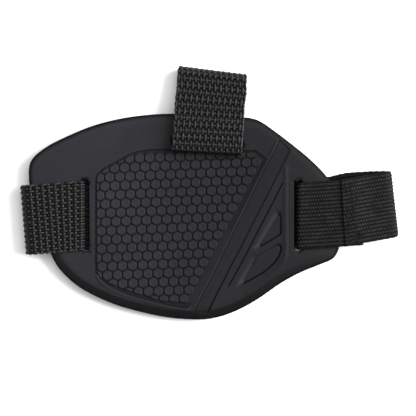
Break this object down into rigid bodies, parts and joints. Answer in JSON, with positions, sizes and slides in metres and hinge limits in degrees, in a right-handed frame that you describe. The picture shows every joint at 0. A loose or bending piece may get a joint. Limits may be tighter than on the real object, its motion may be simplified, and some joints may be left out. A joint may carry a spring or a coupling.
{
  "type": "shoe guard",
  "caption": "Strap-on moulded rubber shoe guard: ribbed pad with hexagon grip field, three slots, tape ring with sole strap, lace loop and elastic loop.",
  "frame": {"origin": "centre of the footprint, on the surface the guard lies on", "axes": "+X to the elastic loop, +Y to the lace loop, +Z out of the pad's front face"},
  "size_m": [0.17, 0.115, 0.0132],
  "materials": {
    "rubber": "satin",
    "tape": "matte",
    "elastic": "matte",
    "hook": "matte",
    "thread": "matte"
  },
  "bodies": {
    "pad": {"pad_shell": "rubber", "left_strap_ring": "tape", "left_seam_thread_1": "thread", "left_seam_thread_2": "thread", "lace_loop_root": "tape", "lace_seam_thread_1": "thread", "lace_seam_thread_2": "thread", "elastic_root": "elastic"},
    "sole_strap": {"sole_strap": "tape", "hook_patch": "hook", "hook_patch_thread": "thread"},
    "lace_loop": {"lace_loop_end": "tape"},
    "elastic_loop": {"elastic_end": "elastic", "elastic_needle_thread_1": "thread", "elastic_needle_thread_2": "thread", "elastic_bobbin_thread_1": "thread", "elastic_bobbin_thread_2": "thread"}
  },
  "joints": [
    {"name": "sole_strap_fold", "type": "hinge", "parent": "pad", "child": "sole_strap", "pos_m": [-0.0555, -0.0105, 0.00215], "axis": [0, 1, 0], "range_deg": [0, 180]},
    {"name": "lace_loop_flip", "type": "hinge", "parent": "pad", "child": "lace_loop", "pos_m": [0, 0.03786, 0.0105], "axis": [0.9963, -0.0858, 0], "range_deg": [0, 110]},
    {"name": "elastic_loop_flip", "type": "hinge", "parent": "pad", "child": "elastic_loop", "pos_m": [0.0594, -0.0093, 0.00935], "axis": [0.0628, -0.998, 0], "range_deg": [0, 95]}
  ]
}
